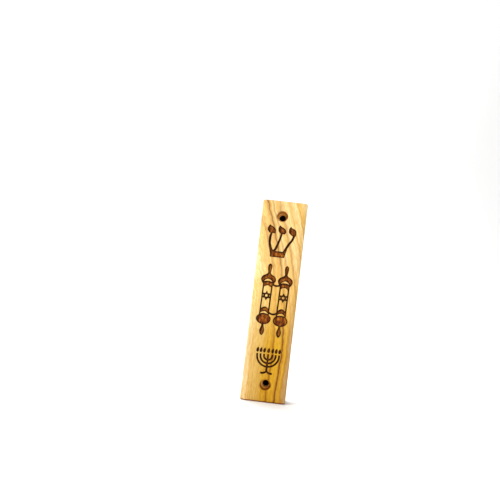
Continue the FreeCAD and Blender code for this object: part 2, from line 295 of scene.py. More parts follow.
def new_group(name: str, kind: str, inputs: dict, outputs: dict) -> tuple[Graph, Node, Node]:
    """Makes a node group with named sockets.

    Args:
        name: The group's name.
        kind: ShaderNodeTree or GeometryNodeTree.
        inputs: Socket name to (socket type, default).
        outputs: Socket name to socket type.

    Returns:
        The graph to fill, its input node and its output node.
    """
    tree = bpy.data.node_groups.new(name, kind)
    graph = Graph(tree)
    for label, (socket_type, default) in inputs.items():
        socket = tree.interface.new_socket(label, in_out="INPUT", socket_type=socket_type)
        if default is not None:
            socket.default_value = default
    for label, socket_type in outputs.items():
        tree.interface.new_socket(label, in_out="OUTPUT", socket_type=socket_type)
    return graph, graph.add("NodeGroupInput"), graph.add("NodeGroupOutput")


def new_material(name: str) -> tuple[Material, Graph, Node]:
    """Makes a material with one Principled shader.

    Args:
        name: The material's name.

    Returns:
        The material, its graph and the shader.
    """
    material = bpy.data.materials.new(name)
    material.use_nodes = True
    graph = Graph(material.node_tree)
    shader = graph.add("ShaderNodeBsdfPrincipled")
    output = graph.add("ShaderNodeOutputMaterial", {"Surface": shader.outputs[0]})
    output.is_active_output = True
    return material, graph, shader


def object_place(graph: Graph) -> NodeSocket:
    """The Object coordinates."""
    return graph.add("ShaderNodeTexCoord").outputs["Object"]


# ---- Shared shader groups


@dataclass(frozen=True)
class Wander:
    """One slow wander of the growth lines: its pace along X, Y and Z, its detail and its width."""

    pace: Vec3
    detail: float
    width: float


@dataclass(frozen=True)
class GrainMark:
    """One kind of mark in the wood.

    Its noise has a pace across the growth lines, into the wood and along it. The mark begins to show where
    the noise passes begin, and is whole where it reaches full. It then tints the wood by its amount.
    """

    pace: Vec3
    detail: float
    rough: float
    begin: float
    full: float
    amount: float
    tint: Colour
    contrasted: bool = False


@dataclass(frozen=True)
class GrainShape:
    """How the grain of the olive wood runs, in millimetres.

    The growth lines stand upright in the lower half of the case. Above bend_start they lean over, more and
    more over bend_length, until they run at full_lean. Behind the front face they turn towards one side. The
    lower tones pass into the upper ones from lower_end to upper_start. Each fade is where a tint begins and
    where it is full.
    """

    bend_start: float = -13.0
    bend_length: float = 33.0
    full_lean: float = 0.33
    side_turn: float = 0.30
    side_curl: float = 0.018
    front: float = -14.0
    first: float = -16.0
    last: float = 30.0
    lower_end: float = -26.0
    upper_start: float = 15.0
    wanders: tuple[Wander, ...] = (
        Wander((0.05, 0.05, 0.035), 1.0, 3.0),
        Wander((0.14, 0.14, 0.13), 2.0, 2.2),
        Wander((0.06, 0.06, 0.34), 1.0, 1.1),
    )
    gold: Colour = tone(241, 198, 98)
    gold_fade: tuple[float, float] = (20.0, 6.0)
    gold_amount: float = 0.42
    foot: Colour = tone(250, 247, 240)
    foot_fade: tuple[float, float] = (-14.0, -50.0)
    heart: Colour = tone(208, 168, 104)
    heart_fade: tuple[float, float] = (-12.0, -5.0)
    heart_amount: float = 0.6


GRAIN_MARKS = {
    "Flecks": GrainMark((1.7, 1.7, 0.4), 2.0, 0.6, 0.56, 0.36, 0.5, tone(232, 214, 170)),
    "Streaks": GrainMark((1.15, 0.5, 0.022), 3.0, 0.62, 0.62, 0.36, 0.55, tone(226, 196, 132), True),
    "Fibres": GrainMark((6.5, 6.5, 0.32), 3.0, 0.6, 0.62, 0.40, 0.30, tone(222, 196, 150)),
    "Pores": GrainMark((11.0, 11.0, 1.1), 1.0, 0.5, 0.66, 0.76, 0.28, tone(176, 128, 76)),
}

# The wood's tones along a line across the grain: the distance in millimetres, and the colour there.
# In the lower tones the first two stops are paler and greyer: a painted highlight where they fall on the left
# bevel.
LOWER_TONES = tones(
    (-12.0, 238, 220, 184), (-9.5, 233, 210, 162), (-8.0, 222, 188, 114), (-5.0, 215, 180, 98),
    (-3.0, 216, 178, 88), (-2.2, 209, 167, 60), (-1.0, 206, 162, 42), (0.3, 208, 163, 38),
    (1.2, 198, 150, 24), (1.8, 152, 98, 8), (2.4, 204, 158, 28), (4.0, 214, 170, 34), (5.3, 205, 158, 36),
    (5.9, 160, 104, 16), (6.25, 112, 60, 4), (6.75, 203, 157, 44), (8.0, 212, 169, 46), (9.0, 194, 145, 40),
    (10.0, 200, 163, 104), (11.0, 208, 174, 120), (12.5, 198, 160, 98),
)
UPPER_TONES = tones(
    (-14.0, 250, 226, 168), (-6.0, 251, 230, 174), (-4.0, 252, 232, 178), (-2.4, 250, 216, 148),
    (-1.2, 244, 206, 134), (-0.2, 238, 206, 140), (1.0, 238, 200, 124), (1.8, 212, 178, 122),
    (2.4, 232, 194, 124), (3.6, 244, 212, 140), (4.8, 234, 196, 124), (5.8, 220, 180, 110),
    (6.5, 160, 122, 76), (7.1, 220, 180, 110), (8.2, 249, 216, 150), (9.2, 216, 184, 130),
    (10.2, 251, 222, 162), (11.0, 246, 208, 130), (12.0, 232, 196, 124), (12.8, 208, 176, 126),
    (13.8, 246, 212, 150), (15.4, 252, 221, 160), (17.0, 250, 221, 162), (17.7, 226, 188, 116),
    (18.8, 248, 215, 150), (21.0, 253, 231, 178), (22.4, 230, 188, 104), (23.4, 246, 207, 124),
    (25.0, 252, 225, 164), (28.0, 248, 213, 146),
)


def make_grain_group(shape: GrainShape) -> NodeTree:
    """Solid olive wood: growth lines that bend and waver, streaks, fibres and pores.

    Args:
        shape: How the grain runs.

    Returns:
        A shader group with the outputs Colour, Fibres and Pores.
    """
    number = "NodeSocketFloat"
    inputs = {"Place": ("NodeSocketVector", None), "Lean": (number, 1.0), "Shift": (number, 0.0),
              "Contrast": (number, 1.0)}
    outputs = {"Colour": "NodeSocketColor", "Fibres": number, "Pores": number}
    graph, given, result = new_group("Olive grain", "ShaderNodeTree", inputs, outputs)
    place = graph.millimetres(given.outputs["Place"])
    across, deep, up = graph.split(place)

    risen = graph.math("MAXIMUM", graph.minus(up, shape.bend_start), 0.0)
    bending = graph.math("MINIMUM", risen, shape.bend_length)
    curve = graph.times(graph.square(bending), shape.full_lean / 2 / shape.bend_length)
    straight = graph.times(graph.minus(risen, bending), shape.full_lean)
    lean = graph.times(graph.plus(curve, straight), given.outputs["Lean"])
    behind = graph.minus(deep, shape.front)
    curl = graph.times(graph.square(behind), shape.side_curl)
    side = graph.plus(graph.times(behind, shape.side_turn), curl)
    moved = 0.0
    for wander in shape.wanders:
        swing = graph.noise(graph.scaled(place, wander.pace), 1.0, wander.detail)
        moved = graph.plus(moved, graph.times(graph.minus(swing, 0.5), wander.width))
    line = graph.plus(graph.plus(across, lean), graph.plus(side, moved))
    line = graph.plus(line, given.outputs["Shift"])

    width = shape.last - shape.first
    position = graph.math("DIVIDE", graph.minus(line, shape.first), width)
    low, high = (graph.ramp(position, [((at - shape.first) / width, shade) for at, shade in stops], Ramp.SOFT)
                 for stops in (LOWER_TONES, UPPER_TONES))
    high = graph.mix(graph.span(up, *shape.gold_fade, 0.0, shape.gold_amount), high, shape.gold)
    low = graph.tint(graph.span(up, *shape.foot_fade, smooth=False), low, shape.foot)
    low = graph.mix(graph.span(deep, *shape.heart_fade, 0.0, shape.heart_amount), low, shape.heart)
    colour = graph.mix(graph.span(up, shape.lower_end, shape.upper_start), low, high)

    noises, shown = {}, {}
    for name, mark in GRAIN_MARKS.items():
        paced = (graph.times(part, pace) for part, pace in zip((line, deep, up), mark.pace))
        noises[name] = graph.noise(graph.combine(*paced), 1.0, mark.detail, mark.rough)
        shown[name] = graph.span(noises[name], mark.begin, mark.full)
        amount = graph.times(shown[name], mark.amount)
        if mark.contrasted:
            amount = graph.times(amount, given.outputs["Contrast"])
        colour = graph.tint(amount, colour, mark.tint)
    graph.fill(result, {"Colour": colour, "Fibres": noises["Fibres"], "Pores": shown["Pores"]})
    return graph.tree


# ---- Finishes


class Mark(str, Enum):
    """The attributes on the engraved mesh: what is cut away, and what is burnt or darkened by painted shade.
    """

    CUT = "cut"
    SCORCH_AND_SHADE = "scorch"


@dataclass(frozen=True)
class OliveWood:
    """Oiled olive wood, with the burnt floor of a laser engraving where the mesh has its marks.

    Lengths are in millimetres. The counterbores have a head_radius, and end at head_floor.
    """

    name: str
    shift: float = 0.0
    lean: float = 1.0
    contrast: float = 1.0
    rough: float = 0.46
    gloss: float = 0.14
    engraved: bool = False
    top_tint: Colour = tone(224, 196, 150)
    # The bottom tint is end grain plus painted shade, as on the downward bevel of the bottom end.
    bottom_grain_and_shade: Colour = tone(176, 120, 62)
    burn_light: Colour = tone(196, 124, 36)
    burn_mid: Colour = tone(136, 70, 12)
    burn_dark: Colour = tone(82, 32, 3)
    # The scorched colour is char and painted shade, on the engraving's walls and the band at their feet.
    scorched_and_shaded: Colour = tone(30, 2, 0)
    # Counterbore walls: drill scorch and painted shade in the hole. Counterbore floor: painted light, paler
    # than the wood.
    bored_scorch_and_shade: Colour = tone(158, 86, 12)
    ledge_light: Colour = tone(246, 184, 84)
    head_radius: float = 2.85
    head_floor: float = -7.6

    def make(self, grain: NodeTree, holes: Sequence[Vector] = ()) -> Material:
        """Makes the material.

        Args:
            grain: The grain group.
            holes: A point on the axis of each screw hole, whose walls are browner than the faces.

        Returns:
            The material.
        """
        material, graph, shader = new_material(self.name)
        place = object_place(graph)
        values = {"Place": place, "Lean": self.lean, "Shift": self.shift, "Contrast": self.contrast}
        wood = graph.group(grain, values)
        parts = graph.split(graph.millimetres(place))
        colour = self.with_ends(graph, wood["Colour"], parts[2])
        height = graph.times(graph.minus(wood["Fibres"], wood["Pores"]), 0.6)
        rough = graph.plus(graph.times(wood["Fibres"], 0.16), self.rough - 0.08)
        for hole in holes:
            colour = self.with_bore(graph, colour, hole, parts)
        if self.engraved:
            colour, rough, height = self.with_burn(graph, place, colour, rough, height)
        graph.fill(shader, {"Base Color": colour, "Roughness": rough, "Specular IOR Level": self.gloss,
                            "Normal": graph.bump(height, 0.35, 0.06 * MM)})
        return material

    def with_ends(self, graph: Graph, colour: NodeSocket, up: NodeSocket) -> NodeSocket:
        """Darkens the end grain at the top and bottom, and the bottom further with painted shade of its
        downward bevel.

        Args:
            graph: The material's graph.
            colour: The wood's colour.
            up: The height, in millimetres.

        Returns:
            The colour with its darker ends.
        """
        lowest, highest = (corner.z / MM for corner in CAD_BOX)
        colour = graph.tint(graph.span(up, highest - 0.7, highest - 0.1, 0.0, 0.75), colour, self.top_tint)
        # Painted shade: the bottom end takes a darker tint than end grain alone, standing for the shadow on
        # its downward bevel.
        return graph.tint(graph.span(up, lowest + 0.95, lowest + 0.35), colour, self.bottom_grain_and_shade)

    def with_bore(self, graph: Graph, colour: NodeSocket, hole: Vector,
                  parts: tuple[NodeSocket, ...]) -> NodeSocket:
        """Browns the walls of a counterbore, partly drill scorch and partly painted shade in the hole, and
        paints light on the counterbore's floor.

        Args:
            graph: The material's graph.
            colour: The wood's colour.
            hole: A point on the hole's axis.
            parts: The place, in millimetres, as its X, Y and Z.

        Returns:
            The colour with the browned walls and the painted light on the counterbore's floor.
        """
        across, deep, up = parts
        face = CAD_BOX[0].y / MM
        aside = graph.minus(across, hole.x / MM)
        above = graph.minus(up, hole.z / MM)
        radius = graph.math("SQRT", graph.plus(graph.square(aside), graph.square(above)))
        inside = graph.times(graph.span(radius, self.head_radius + 0.25, self.head_radius + 0.05),
                             graph.span(deep, face + 0.02, face + 0.8))
        inside = graph.times(inside, graph.span(deep, self.head_floor + 0.3, self.head_floor + 0.05))
        rings = graph.noise(graph.combine(0.0, graph.times(deep, 2.6), 0.0), 1.0, 2.0)
        # Painted shade mixed with drill scorch on the walls, painted light on the counterbore's floor.
        wall = graph.mix(graph.span(rings, 0.3, 0.7, 0.35, 0.0), self.bored_scorch_and_shade, colour)
        outer = graph.span(radius, self.head_radius - 0.4, self.head_radius - 0.1)
        return graph.mix(graph.times(inside, 0.95), colour, graph.mix(outer, self.ledge_light, wall))

    def with_burn(self, graph: Graph, place: NodeSocket, colour: NodeSocket,
                  rough: NodeSocket, height: NodeSocket) -> tuple[NodeSocket, ...]:
        """Burns the engraving: a mottled brown floor, with dark walls and a dark line along their feet, both
        partly burn and partly painted shade.

        Args:
            graph: The material's graph.
            place: The Object coordinates.
            colour: The wood's colour.
            rough: Its roughness.
            height: Its bump height.

        Returns:
            The colour, roughness and height with the engraving.
        """
        cut, scorch = (graph.add("ShaderNodeAttribute", attribute_name=mark.value).outputs["Fac"]
                       for mark in Mark)
        blotches = graph.noise(graph.scaled(place, (1.0, 1.0, 0.36)), 1000.0, 4.0, 0.62)
        specks = graph.noise(place, 3800.0, 2.0, 0.6)
        mottle = graph.plus(graph.times(blotches, 0.75), graph.times(specks, 0.25))
        floor = graph.ramp(mottle, [(0.42, self.burn_dark), (0.52, self.burn_mid), (0.64, self.burn_light)])
        # Painted shade: the walls and the band at their feet take the scorched colour, for char and the shade
        # in the cut.
        colour = graph.mix(cut, colour, graph.mix(scorch, floor, self.scorched_and_shaded))
        halo = graph.times(scorch, graph.minus(1.0, cut))
        colour = graph.mix(graph.times(halo, 0.75), colour, self.scorched_and_shaded)
        rough = graph.math("ADD", rough, graph.times(cut, 0.35), clamp=True)
        height = graph.plus(height, graph.times(graph.times(mottle, cut), 1.6))
        return colour, rough, height


@dataclass(frozen=True)
class Parchment:
    """Scraped parchment: pale, mottled, with fine scraper marks and faint ruled lines."""

    name: str = "Parchment"
    pale: Colour = tone(216, 190, 140)
    shaded: Colour = tone(190, 158, 104)
    ruled: Colour = tone(150, 116, 72)
    rough: tuple[float, float] = (0.52, 0.72)
    line_pitch: float = 2.6
    line_amount: float = 0.45

    def make(self) -> Material:
        """Makes the material.

        Returns:
            The material.
        """
        material, graph, shader = new_material(self.name)
        place = object_place(graph)
        clouds = graph.noise(place, 260.0, 4.0, 0.6)
        scrapes = graph.noise(graph.scaled(place, (1.0, 1.0, 9.0)), 900.0, 3.0, 0.6)
        colour = graph.mix(graph.span(clouds, 0.35, 0.68), self.pale, self.shaded)
        up = graph.math("DIVIDE", graph.split(place)[2], self.line_pitch * MM)
        near = graph.math("ABSOLUTE", graph.minus(graph.math("FRACT", up), 0.5))
        line = graph.times(graph.span(near, 0.05, 0.02), self.line_amount)
        graph.fill(shader, {"Base Color": graph.mix(line, colour, self.ruled),
                            "Roughness": graph.span(scrapes, 0.3, 0.7, *self.rough),
                            "Normal": graph.bump(graph.minus(scrapes, line), 0.3, 0.04 * MM)})
        return material


@dataclass(frozen=True)
class ClearFilm:
    """Thin clear film, more visible along its wrinkles."""

    name: str = "Clear film"
    body: Colour = tone(214, 220, 224)
    rough: tuple[float, float] = (0.06, 0.14)
    cover: tuple[float, float] = (0.05, 0.24)
    coat: float = 0.8
    coat_rough: float = 0.06

    def make(self) -> Material:
        """Makes the material.

        Returns:
            The material.
        """
        material, graph, shader = new_material(self.name)
        place = object_place(graph)
        wrinkles = graph.noise(graph.scaled(place, (1.0, 1.0, 0.10)), 560.0, 1.0)
        graph.fill(shader, {"Base Color": self.body, "Roughness": graph.span(wrinkles, 0.3, 0.7, *self.rough),
                            "Alpha": graph.span(wrinkles, 0.52, 0.70, *self.cover),
                            "Normal": graph.bump(wrinkles, 0.22, 0.2 * MM),
                            "Coat Weight": self.coat, "Coat Roughness": self.coat_rough})
        return material


@dataclass(frozen=True)
class BandRubber:
    """Amber rubber with a dusty skin."""

    name: str = "Band rubber"
    body: Colour = tone(150, 88, 40)
    dusty: Colour = tone(182, 124, 74)
    rough: tuple[float, float] = (0.45, 0.68)

    def make(self) -> Material:
        """Makes the material.

        Returns:
            The material.
        """
        material, graph, shader = new_material(self.name)
        place = object_place(graph)
        dust = graph.noise(place, 1500.0, 4.0, 0.65)
        strands = graph.noise(graph.scaled(place, (1.0, 1.0, 7.0)), 1200.0)
        graph.fill(shader, {"Base Color": graph.mix(graph.span(dust, 0.45, 0.75), self.body, self.dusty),
                            "Roughness": graph.span(dust, 0.3, 0.7, *self.rough),
                            "Normal": graph.bump(strands, 0.35, 0.1 * MM)})
        return material


@dataclass(frozen=True)
class StudioPaper:
    """Plain pale paper for the floor and backdrop."""

    name: str = "Studio paper"
    body: Colour = (0.92, 0.92, 0.92)
    rough: tuple[float, float] = (0.85, 0.95)

    def make(self) -> Material:
        """Makes the material.

        Returns:
            The material.
        """
        material, graph, shader = new_material(self.name)
        fibres = graph.noise(object_place(graph), 400.0, 3.0)
        graph.fill(shader, {"Base Color": self.body, "Roughness": graph.span(fibres, 0.3, 0.7, *self.rough)})
        return material


@dataclass(frozen=True)
class HoleShade:
    """The dark inside of an empty screw hole."""

    name: str = "Hole shade"
    body: Colour = (0.004, 0.003, 0.002)

    def make(self) -> Material:
        """Makes the material.

        Returns:
            The material.
        """
        material, graph, shader = new_material(self.name)
        graph.fill(shader, {"Base Color": self.body, "Roughness": 1.0, "Specular IOR Level": 0.0})
        return material


# ---- Meshes


def add_object(name: str, mesh: Mesh, material: Material) -> Object:
    """Puts a mesh in the scene, with its one material.

    Args:
        name: The piece's name.
        mesh: Its mesh, already in place.
        material: Its material.

    Returns:
        The object.
    """
    mesh.materials.clear()
    mesh.materials.append(material)
    piece = bpy.data.objects.new(name, mesh)
    bpy.context.scene.collection.objects.link(piece)
    return piece


def smooth_by_angle(mesh: Mesh, degrees: float) -> None:
    """Smooths a mesh, with sharp edges where its faces meet at a large angle.

    Args:
        mesh: The mesh, which is changed.
        degrees: The largest angle that is still smooth.
    """
    for polygon in mesh.polygons:
        polygon.use_smooth = True
    mesh.set_sharp_from_angle(angle=math.radians(degrees))


def grown(name: str, tree: NodeTree, values: dict[str, object]) -> Mesh:
    """Runs a geometry node tree once and returns its plain mesh, merged and with its faces outwards.

    Args:
        name: The mesh's name.
        tree: The tree.
        values: Its inputs, by name.

    Returns:
        The mesh.
    """
    holder = bpy.data.objects.new(name, bpy.data.meshes.new(name))
    bpy.context.scene.collection.objects.link(holder)
    modifier = holder.modifiers.new("Grow", "NODES")
    modifier.node_group = tree
    for item in tree.interface.items_tree:
        if item.item_type == "SOCKET" and item.in_out == "INPUT" and item.name in values:
            modifier[item.identifier] = values[item.name]
    depsgraph = bpy.context.evaluated_depsgraph_get()
    mesh = bpy.data.meshes.new_from_object(holder.evaluated_get(depsgraph))
    holder.modifiers.remove(modifier)
    bpy.data.objects.remove(holder)
    mesh.name = name
    work = bmesh.new()
    work.from_mesh(mesh)
    bmesh.ops.remove_doubles(work, verts=work.verts, dist=0.0005 * MM)
    bmesh.ops.recalc_face_normals(work, faces=work.faces)
    work.to_mesh(mesh)
    work.free()
    return mesh


def mesh_from(name: str, work: BMesh) -> Mesh:
    """Turns a work mesh into a plain one.

    Args:
        name: The mesh's name.
        work: The work mesh, which is freed.

    Returns:
        The mesh.
    """
    mesh = bpy.data.meshes.new(name)
    work.to_mesh(mesh)
    work.free()
    return mesh


def size_inputs(place: str, *sizes: str) -> dict:
    """The inputs of a shape's node tree: where it goes, and its sizes."""
    return {place: ("NodeSocketVector", None)} | {name: ("NodeSocketFloat", None) for name in sizes}


def end_tree(graph: Graph, result: Node, shape: NodeSocket, place: NodeSocket,
             material: Material) -> NodeTree:
    """Ends a geometry node tree: puts its shape in place, makes it real and gives it its material.

    Args:
        graph: The tree's graph.
        result: Its output node.
        shape: The shape that it has made.
        place: Where the shape goes.
        material: The shape's material.

    Returns:
        The tree.
    """
    moved = graph.out("GeometryNodeTransform", {"Geometry": shape, "Translation": place})
    real = graph.out("GeometryNodeRealizeInstances", {0: moved})
    dressed = graph.out("GeometryNodeSetMaterial", {"Geometry": real, "Material": material})
    graph.feed(result.inputs[0], dressed)
    return graph.tree


@dataclass
class EngravedBlock:
    """The block, with its engraved face laid out again in small triangles that carry the burn marks and
    painted shade.

    The outline of every cut comes from the CAD node. Only the flat front face and the flat floors of the cuts
    get new triangles between their unchanged edges. The floors are then roughened a little.
    """

    node: CadNode = CadNode.BLOCK
    floor_depth: float = 0.6 * MM
    floor_step: float = 0.24 * MM
    rim_step: float = 0.22 * MM
    rim_width: float = 0.55 * MM
    face_step: float = 1.6 * MM
    jitter: float = 0.28
    clearance: float = 0.09 * MM
    flatness: float = 0.002 * MM
    merging: float = 0.0008 * MM
    wall_spacing: float = 0.05 * MM
    # The dark band along the feet of the walls is burn and painted shade.
    scorch_and_shade_reach: float = 0.52 * MM
    # The band reaches further, as painted shadow, beside walls towards the upper left, where the light comes
    # from.
    shadow_reach: float = 0.95 * MM
    light_turn: float = math.radians(140)
    halo_reach: float = 0.07 * MM
    relief: float = 0.035 * MM
    front: float = field(init=False)
    floor: float = field(init=False)
    walls: KDTree = field(init=False, repr=False)

    def build(self) -> Mesh:
        """Builds the mesh.

        Returns:
            The block's mesh, with its attributes for the cut and for the burn and painted shade.
        """
        work = bmesh.new()
        work.from_mesh(frame["nodes"][self.node.value].data)
        bmesh.ops.remove_doubles(work, verts=work.verts, dist=self.merging)
        self.front = CAD_BOX[0].y
        self.floor = self.front + self.floor_depth
        self.walls = self.wall_points(work)
        self.lay_out(work, self.floor, self.floor_step, None)
        self.lay_out(work, self.front, self.face_step, self.rim_step)
        self.mark(work)
        mesh = mesh_from("Engraved_block", work)
        smooth_by_angle(mesh, 35.0)
        return mesh

    def wall_points(self, work: BMesh) -> KDTree:
        """Collects points along the feet of the engraving's walls.

        Args:
            work: The block's mesh.

        Returns:
            A search tree of the points, flat on the XZ plane.
        """
        points = []
        for edge in work.edges:
            if all(self.at(vert, self.floor) for vert in edge.verts) and self.is_rim(edge, self.floor):
                low, high = (vert.co for vert in edge.verts)
                count = max(2, int(edge.calc_length() / self.wall_spacing))
                points += [low.lerp(high, step / count) for step in range(count + 1)]
        tree = KDTree(len(points))
        for index, point in enumerate(points):
            tree.insert((point.x, 0.0, point.z), index)
        tree.balance()
        return tree

    def at(self, vert: BMVert, level: float) -> bool:
        """Says whether a vertex lies at a height in Y."""
        return abs(vert.co.y - level) < self.flatness

    def lies_at(self, face: BMFace, level: float) -> bool:
        """Says whether a face lies flat at a height in Y."""
        return all(self.at(vert, level) for vert in face.verts)

    def is_rim(self, edge: BMEdge, level: float) -> bool:
        """Says whether an edge parts the flat faces at a height in Y from the rest."""
        return sum(self.lies_at(face, level) for face in edge.link_faces) == 1

    def from_walls(self, points: np.ndarray) -> np.ndarray:
        """Measures how far each point is from the engraving's walls."""
        return np.array([self.walls.find((x, 0.0, z))[2] for x, z in points])

    def lay_out(self, work: BMesh, level: float, step: float, rim_step: float | None) -> None:
        """Lays out the flat faces at one height again.

        Args:
            work: The block's mesh, which is changed.
            level: The height in Y.
            step: The distance between new points.
            rim_step: The distance near the walls of the engraving, if it is another one.
        """
        flat = [face for face in work.faces if self.lies_at(face, level)]
        rim = [edge for edge in work.edges if self.is_rim(edge, level)]
        corners = list(dict.fromkeys(vert for edge in rim for vert in edge.verts))
        number = {vert: index for index, vert in enumerate(corners)}
        edges = [(number[edge.verts[0]], number[edge.verts[1]]) for edge in rim]
        ends = np.array([[(vert.co.x, vert.co.z) for vert in edge.verts] for edge in rim])
        inner = self.inner_points(ends, step, rim_step)
        points = [Vector((vert.co.x, vert.co.z)) for vert in corners] + [Vector(point) for point in inner]
        placed, _, faces, sources, _, _ = delaunay_2d_cdt(points, edges, [], 0, 1e-9)
        middles = np.array([np.mean([placed[index] for index in face], axis=0) for face in faces])
        bmesh.ops.delete(work, geom=flat, context="FACES_ONLY")
        bmesh.ops.delete(work, geom=[edge for edge in work.edges if not edge.link_faces], context="EDGES")
        verts = {}
        for index, source in enumerate(sources):
            if source and source[0] < len(corners):
                verts[index] = corners[source[0]]
        for face in (face for face, wanted in zip(faces, inside(middles, ends)) if wanted):
            for index in face:
                if index not in verts:
                    verts[index] = work.verts.new((placed[index].x, level, placed[index].y))
            self.add_face(work, [verts[index] for index in face])

    @staticmethod
    def add_face(work: BMesh, verts: list[BMVert]) -> None:
        """Adds a triangle that looks towards the front.

        Args:
            work: The mesh, which is changed.
            verts: The triangle's corners.
        """
        face = work.faces.new(verts)
        face.normal_update()
        if face.normal.y > 0:
            face.normal_flip()

    def inner_points(self, ends: np.ndarray, step: float, rim_step: float | None) -> np.ndarray:
        """Spreads points inside an outline, each a little off its grid place.

        Args:
            ends: The two ends of each edge of the outline.
            step: The distance between points.
            rim_step: The distance near the engraving's walls, if it is another one.

        Returns:
            The points, clear of the outline.
        """
        chosen = self.spread(ends, step)
        if rim_step is not None:
            near = self.spread(ends, rim_step)
            near = near[self.from_walls(near) < self.rim_width]
            chosen = np.vstack([chosen[self.from_walls(chosen) > self.rim_width], near])
        return chosen[self.from_walls(chosen) > self.clearance]

    def spread(self, ends: np.ndarray, step: float) -> np.ndarray:
        """Fills an outline with a jittered grid of points.

        Args:
            ends: The two ends of each edge of the outline.
            step: The distance between points.

        Returns:
            The points.
        """
        low = ends.min(axis=(0, 1))
        high = ends.max(axis=(0, 1))
        across = np.arange(low[0] + step / 2, high[0], step)
        up = np.arange(low[1] + step / 2, high[1], step)
        grid = np.stack(np.meshgrid(across, up), axis=-1).reshape(-1, 2)
        grid += np.random.default_rng(SEED).uniform(-self.jitter, self.jitter, grid.shape) * step
        return grid[inside(grid, ends)]

    def mark(self, work: BMesh) -> None:
        """Writes the cut attribute and the attribute for burn and painted shade, and roughens the floors.

        The dark band reaches further from walls that lie towards the upper left, where the light comes from:
        a painted shadow that those walls cast on the floor.

        Args:
            work: The block's mesh, which is changed.
        """
        cut, scorch = (work.verts.layers.float.new(mark.value) for mark in Mark)
        random = np.random.default_rng(SEED)
        # Painted shadow: the band reaches further where the nearest wall lies towards the upper left, where
        # the light comes from.
        towards_light = Vector((math.cos(self.light_turn), 0.0, math.sin(self.light_turn)))
        for vert in work.verts:
            flat = Vector((vert.co.x, 0.0, vert.co.z))
            wall, _, away = self.walls.find(flat)
            if self.at(vert, self.floor):
                towards = max(0.0, (wall - flat).normalized().dot(towards_light))
                reach = self.scorch_and_shade_reach + (self.shadow_reach - self.scorch_and_shade_reach) * towards
                vert[cut] = 1.0
                vert[scorch] = math.exp(-((away / reach) ** 2))
                if away > self.flatness:
                    vert.co.y += self.relief * random.uniform(-1.0, 1.0)
            elif self.at(vert, self.front):
                on_face = all(self.lies_at(face, self.front) for face in vert.link_faces)
                on_rim = away < self.rim_width and not on_face
                vert[cut] = 1.0 if on_rim else 0.0
                vert[scorch] = 1.0 if on_rim else math.exp(-away / self.halo_reach)
            elif vert.co.y < self.floor and away < self.rim_width:
                vert[cut] = vert[scorch] = 1.0

    def dress(self, grain: NodeTree) -> Object:
        """Builds the block and gives it its wood.

        Args:
            grain: The grain group.

        Returns:
            The block, which replaces its CAD node.
        """
        finish = OliveWood("Olive wood", engraved=True)
        piece = add_object("Engraved_block", self.build(), finish.make(grain, screw_holes()))
        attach(piece, Body.CASE.value)
        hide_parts(self.node.value)
        return piece


def inside(points: np.ndarray, ends: np.ndarray) -> np.ndarray:
    """Tests points against an outline by counting the edges that each one sees to its right.

    Args:
        points: The points.
        ends: The two ends of each edge of the outline.

    Returns:
        True for each point that is inside.
    """
    low, high = ends[:, 0], ends[:, 1]
    rise = high[:, 1] - low[:, 1]
    slope = (high[:, 0] - low[:, 0]) / np.where(rise == 0, 1.0, rise)
    result = np.zeros(len(points), bool)
    for start in range(0, len(points), BATCH):
        x, z = (points[start:start + BATCH, axis, None] for axis in (0, 1))
        spans = (low[:, 1] > z) != (high[:, 1] > z)
        crossing = low[:, 0] + (z - low[:, 1]) * slope
        result[start:start + BATCH] = (spans & (crossing > x)).sum(axis=1) % 2 == 1
    return result


def screw_holes() -> list[Vector]:
    """A point on the axis of each screw hole, from the record's mounts."""
    return [Vector(mount["pos_m"]) for mount in frame["record"]["mounts"] if mount["kind"] == "bore"]


@dataclass
class SlidingCover:
    """The dovetailed cover in the back. Its CAD shape is right, so it only gets its wood."""

    node: CadNode = CadNode.COVER
    grain_shift: float = 9.0
    grain_lean: float = 0.25

    def dress(self, grain: NodeTree) -> Object:
        """Gives the cover its wood, cut from another part of the plank.

        Args:
            grain: The grain group.

        Returns:
            The cover's CAD node.
        """
        finish = OliveWood("Cover olive wood", self.grain_shift, self.grain_lean, 1.2, 0.5)
        piece = frame["nodes"][self.node.value]
        for slot in piece.material_slots:
            slot.link = "OBJECT"
            slot.material = finish.make(grain)
        return piece


